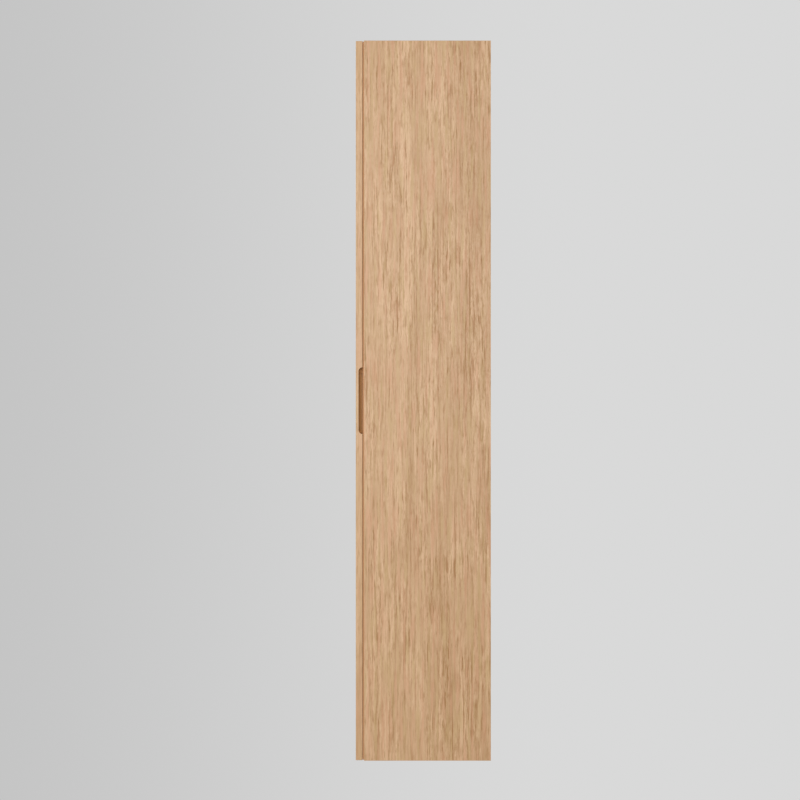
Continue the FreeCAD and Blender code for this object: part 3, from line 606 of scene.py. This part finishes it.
# How far from the board's edge the painted shade starts, and where it is full
STAIN_SHADE_MM = (16.0, 4.0)
CUTTER_LINE_MM = (1.2, 60.0)
CUTTER_LINE_DETAIL = 3.0
CUTTER_LINE_SHARE = 0.4
CUTTER_LINE_LEVELS = (0.30, 0.80)
material, tree, shader, place = blank_finish("oak_foil_door_panel")
oak, grain_height = oak_grain(tree, place, "Z", DOOR_FOIL_START)
lines = cloudy(tree, place, drawn("Z", *CUTTER_LINE_MM), CUTTER_LINE_DETAIL)["Fac"]
chips = chipboard_core(tree, place)[1]
soaked = weighted(tree, (lines, CUTTER_LINE_SHARE), (chips, 1 - CUTTER_LINE_SHARE))
soaked = spread(tree, soaked, *CUTTER_LINE_LEVELS)
board_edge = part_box("door_panel")[1].x / MM
shade_ends = [board_edge - inset for inset in STAIN_SHADE_MM]
painted_shade = spread(tree, axes_of(tree, place)["X"], *shade_ends)
cove_stain_painted_light = tint(tree, soaked, STAIN_PAINTED_LIGHT, STAIN_PAINTED_LIGHT_DARK)
stain_light_and_shade = tint(tree, painted_shade, cove_stain_painted_light, tint(tree, soaked, STAIN_PAINTED_SHADE, STAIN_PAINTED_SHADE_DARK))
cut = inside_board(tree, place, "door_panel", "Y")
feed(tree, shader.inputs["Base Color"], tint(tree, cut, oak, stain_light_and_shade))
feed(tree, shader.inputs["Roughness"], spread(tree, grain_height, 0.0, 1.0, *FOIL_ROUGHNESS))
emboss(tree, shader, (grain_height, PORE_DEPTH_MM))
dress("door_panel", material)

# Door edging
# Oak-grain strips, glued to the door's four edges. The upright ones run the full height, and the top and
# bottom ones butt against them. The opening strip is cut away at the finger pull.
HINGE_STRIP_START = (410.0, 77.0, 0.0)
END_STRIP_START = Vector((205.0, 77.0, 390.0))
OPENING_STRIP_START = (130.0, 45.0, 610.0)
strip = (*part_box("door_hinge_edging"), -RIGHT)
edging("door_hinge_edging", "door_hinge_strip", [strip], "Z", HINGE_STRIP_START, "door", round_ends=True)
for end, outward in (("top", UP), ("bottom", -UP)):
    node = f"door_{end}_edging"
    strip = (*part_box(node), outward)
    edging(node, f"door_{end}_strip", [strip], "X", END_STRIP_START * outward.z, "door")

PULL_HALF = 74.0 * MM
PULL_LIP = 6.0 * MM
COVE_STEPS = 8
QUARTER_TURN = math.radians(90)
low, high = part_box("door_opening_edging")
cove_radius = high.y - low.y - PULL_LIP
cove = []
for step in range(COVE_STEPS + 1):
    angle = QUARTER_TURN * step / COVE_STEPS
    y = high.y - cove_radius * math.sin(angle)
    z = PULL_HALF - cove_radius * (1 - math.cos(angle))
    cove.append((y, z))
lower_half = [(low.y, low.z), (high.y, low.z)] + [(y, -z) for y, z in cove]
upper_half = cove[::-1] + [(high.y, high.z), (low.y, high.z)]
outline = lower_half + upper_half
work = bmesh.new()
inner = [work.verts.new((low.x, y, z)) for y, z in outline]
outer = [work.verts.new((high.x, y, z)) for y, z in outline]
work.faces.new(inner)
work.faces.new(reversed(outer))
for n in range(len(outline)):
    work.faces.new((inner[n - 1], outer[n - 1], outer[n], inner[n]))
rim = outermost(work.edges, RIGHT, high.x)
past_pull = PULL_HALF + EDGE_ROUND
rounded = [edge for edge in rim if any(abs(end.co.z) > past_pull for end in edge.verts)]
round_over(work, rounded, EDGE_ROUND)
finish = oak_edging_finish("oak_door_opening_strip", "Z", OPENING_STRIP_START)
set_in(work, "door_opening_strip", finish, "door", "door_opening_edging")

# Floor
# A plain pale studio floor, a step below the hung cabinet. It takes a soft shadow and fades into the
# background, so that it has no edge.
FLOOR_DROP = 0.30
FLOOR_RADIUS = 4.0
FLOOR_SIDES = 96
FLOOR_CENTRE_Y = -0.15
FLOOR_PALE = (0.62, 0.62, 0.62, 1.0)
FLOOR_ROUGHNESS = 0.8
FLOOR_FADE_MM = (350.0, 1150.0)
work = bmesh.new()
bmesh.ops.create_circle(work, cap_ends=True, radius=FLOOR_RADIUS, segments=FLOOR_SIDES)
mesh = bpy.data.meshes.new("studio_floor")
work.to_mesh(mesh)
work.free()
studio_floor = bpy.data.objects.new("studio_floor", mesh)
studio_floor.location = (0.0, FLOOR_CENTRE_Y, cad_box[0].z - FLOOR_DROP)
bpy.context.scene.collection.objects.link(studio_floor)
material, tree, shader, place = blank_finish("studio_floor")
shader.inputs["Base Color"].default_value = FLOOR_PALE
shader.inputs["Roughness"].default_value = FLOOR_ROUGHNESS
distance = tree.nodes.new("ShaderNodeVectorMath")
distance.operation = "LENGTH"
tree.links.new(place, distance.inputs[0])
feed(tree, shader.inputs["Alpha"], spread(tree, distance.outputs["Value"], *FLOOR_FADE_MM, 1.0, 0.0))
mesh.materials.append(material)

# Light
# An even pale grey room, a touch darker towards the door's side, and large soft lights: one beside the
# camera, two weaker ones in front of the door, and one behind on the left.
ROOM_DIM = (0.545, 0.545, 0.545, 1.0)
ROOM_PALE = (0.693, 0.694, 0.693, 1.0)
ROOM_TURN = (-0.19, 0.07)
world = bpy.data.worlds.new("studio")
world.use_nodes = True
tree = world.node_tree
direction = tree.nodes.new("ShaderNodeTexCoord").outputs["Generated"]
room = tint(tree, spread(tree, axes_of(tree, direction)["Y"], *ROOM_TURN), ROOM_DIM, ROOM_PALE)
feed(tree, tree.nodes["Background"].inputs["Color"], room)
bpy.context.scene.world = world

# Each light's place and aim in metres, side in metres and power in watts
SOFT_LIGHTS = {
    "camera_side_light": ((5.0, -0.40, 0.6), (0.2, -0.15, 0.0), 1.8, 68.0),
    "door_side_light": ((1.3, -2.3, 0.5), (0.2, -0.28, 0.0), 1.1, 20.0),
    "front_light": ((-1.5, -3.0, 0.8), (0.0, -0.3, 0.0), 1.4, 22.0),
    "rear_light": ((-2.4, 2.6, 0.3), (-0.1, -0.1, 0.0), 1.6, 40.0),
}
for name, (spot, aim, side, watts) in SOFT_LIGHTS.items():
    lamp = bpy.data.lights.new(name, "AREA")
    lamp.size = side
    lamp.energy = watts
    light = bpy.data.objects.new(name, lamp)
    light.location = spot
    light.visible_camera = False
    light.rotation_euler = (Vector(aim) - Vector(spot)).to_track_quat("-Z", "Y").to_euler()
    bpy.context.scene.collection.objects.link(light)
bpy.context.scene.view_settings.view_transform = "Standard"

# Camera
# It looks straight at the right side, level with the middle of the cabinet, from far enough to flatten the
# view. The cabinet stands a little to the right of the picture's middle.
CAMERA_DISTANCE = 6.10
LENS = 123.57
VIEW_CENTRE_Y = -0.2018
VIEW_CENTRE_Z = 0.0014
camera_data = bpy.data.cameras.new("camera")
camera_data.lens = LENS
camera = bpy.data.objects.new("camera", camera_data)
camera.location = (cad_box[1].x + CAMERA_DISTANCE, VIEW_CENTRE_Y, VIEW_CENTRE_Z)
camera.rotation_euler = (QUARTER_TURN, 0.0, QUARTER_TURN)
bpy.context.scene.collection.objects.link(camera)
bpy.context.scene.camera = camera
